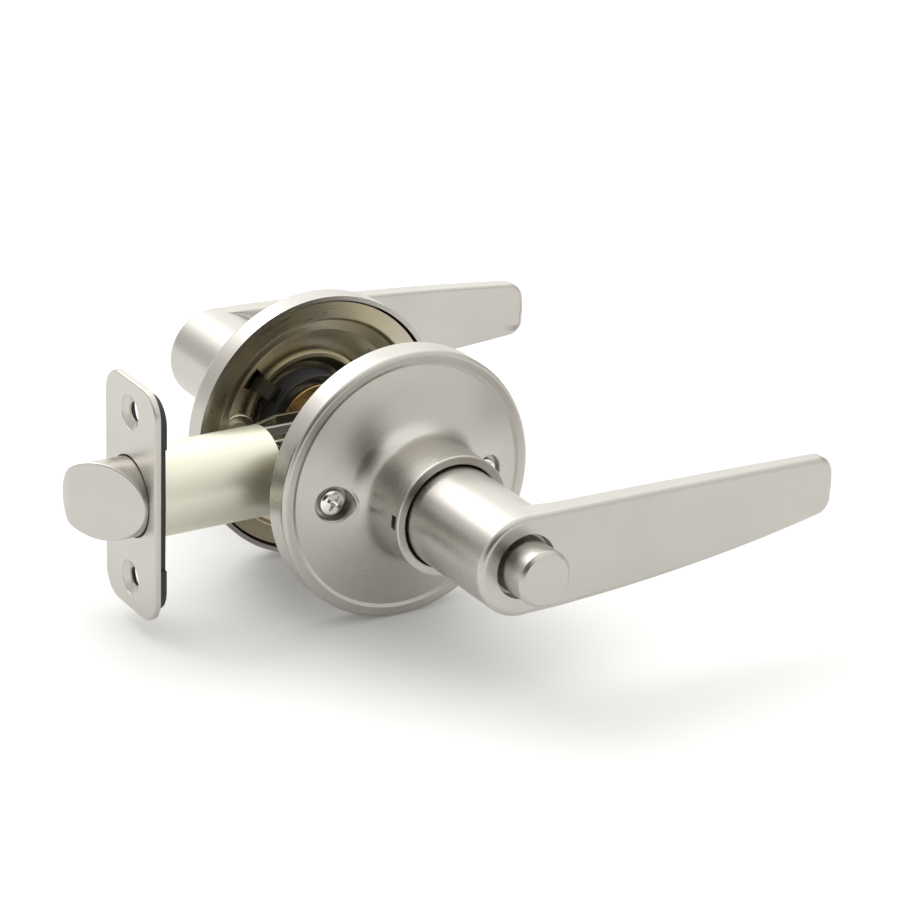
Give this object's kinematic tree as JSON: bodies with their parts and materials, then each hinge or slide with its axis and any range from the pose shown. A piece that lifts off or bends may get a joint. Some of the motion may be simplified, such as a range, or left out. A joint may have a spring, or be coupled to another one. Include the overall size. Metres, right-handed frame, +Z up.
{
  "type": "door lever handle",
  "caption": "Privacy door lever set: two levers on round roses, a push button, a square spindle and a tubular spring latch with a slanted bolt and faceplate.",
  "frame": {"origin": "where the spindle's axis crosses the latch's axis, in the middle of the door's thickness", "axes": "+X away from the door's edge, towards the levers' tips; +Y out of the door's other side, away from the push button; +Z up"},
  "size_m": [0.1632, 0.1578, 0.0666],
  "materials": {
    "satin_nickel": "satin nickel plate, fine brushed",
    "satin_nickel_plate": "satin nickel plate on stamped steel",
    "bright_nickel": "bright nickel plate",
    "yellow_zinc": "yellow zinc dichromate over stamped steel",
    "pale_zinc": "pale yellow-green zinc dichromate",
    "zinc_steel": "clear zinc plate",
    "brass_plate": "plain brass",
    "spring_steel": "spring steel",
    "black_spring": "black oxide spring steel",
    "nylon": "dark nylon",
    "black_plastic": "moulded black plastic"
  },
  "bodies": {
    "lock_frame": {"interior_rose": "satin_nickel", "interior_bush": "nylon", "interior_mounting_plate": "yellow_zinc", "interior_return_spring": "black_spring", "exterior_rose": "satin_nickel", "exterior_bush": "nylon", "exterior_mounting_plate": "yellow_zinc", "exterior_return_spring": "black_spring", "through_bolts": "bright_nickel", "mounting_posts": "zinc_steel", "faceplate": "satin_nickel_plate", "latch_backplate": "black_plastic", "latch_tube": "pale_zinc", "spring_washer": "zinc_steel", "bolt_spring": "spring_steel", "case_front_plate": "yellow_zinc", "case_rear_plate": "yellow_zinc", "case_rivets": "zinc_steel"},
    "interior_handle": {"interior_lever": "satin_nickel", "interior_sleeve": "zinc_steel", "interior_cam": "brass_plate", "interior_lever_catch": "spring_steel", "interior_retaining_ring": "spring_steel", "button_retaining_ring": "spring_steel", "button_spring": "spring_steel"},
    "exterior_handle": {"exterior_lever": "satin_nickel", "exterior_sleeve": "zinc_steel", "exterior_cam": "brass_plate", "exterior_lever_catch": "spring_steel", "exterior_retaining_ring": "spring_steel", "spindle": "zinc_steel"},
    "button": {"privacy_button": "satin_nickel", "locking_bar": "zinc_steel", "lock_plate": "zinc_steel"},
    "hub": {"latch_hub": "zinc_steel"},
    "retractor": {"retractor": "zinc_steel"},
    "bolt": {"latch_bolt": "satin_nickel_plate", "bolt_pull_rod": "zinc_steel"}
  },
  "joints": [
    {"name": "exterior_lever_turn", "type": "hinge", "parent": "lock_frame", "child": "exterior_handle", "pos_m": [0, 0, 0], "axis": [0, 1, 0], "range_deg": [0, 60], "stiffness_Nm_per_rad": 0.35, "springref_deg": -51.57, "deforming": ["exterior_return_spring"]},
    {"name": "interior_lever_turn", "type": "hinge", "parent": "lock_frame", "child": "interior_handle", "pos_m": [0, 0, 0], "axis": [0, 1, 0], "range_deg": [0, 60], "stiffness_Nm_per_rad": 0.35, "springref_deg": -51.57, "deforming": ["interior_return_spring"]},
    {"name": "hub_turn", "type": "hinge", "parent": "lock_frame", "child": "hub", "pos_m": [0, 0, 0], "axis": [0, 1, 0], "range_deg": [0, 60]},
    {"name": "retractor_slide", "type": "slide", "parent": "lock_frame", "child": "retractor", "axis": [1, 0, 0], "range_m": [0, 0.0127]},
    {"name": "bolt_slide", "type": "slide", "parent": "lock_frame", "child": "bolt", "axis": [1, 0, 0], "range_m": [0, 0.0127], "stiffness_N_per_m": 250, "springref_m": -0.012, "deforming": ["bolt_spring"]},
    {"name": "button_push", "type": "slide", "parent": "interior_handle", "child": "button", "axis": [0, 1, 0], "range_m": [0, 0.0035], "stiffness_N_per_m": 350, "springref_m": -0.004, "deforming": ["button_spring"]}
  ],
  "couplings": [
    {"joint": "interior_lever_turn", "follows": "exterior_lever_turn", "ratio": 1},
    {"joint": "hub_turn", "follows": "exterior_lever_turn", "ratio": 1},
    {"joint": "retractor_slide", "follows": "exterior_lever_turn", "m_per_rad": 0.012032},
    {"joint": "bolt_slide", "follows": "exterior_lever_turn", "m_per_rad": 0.012032}
  ]
}
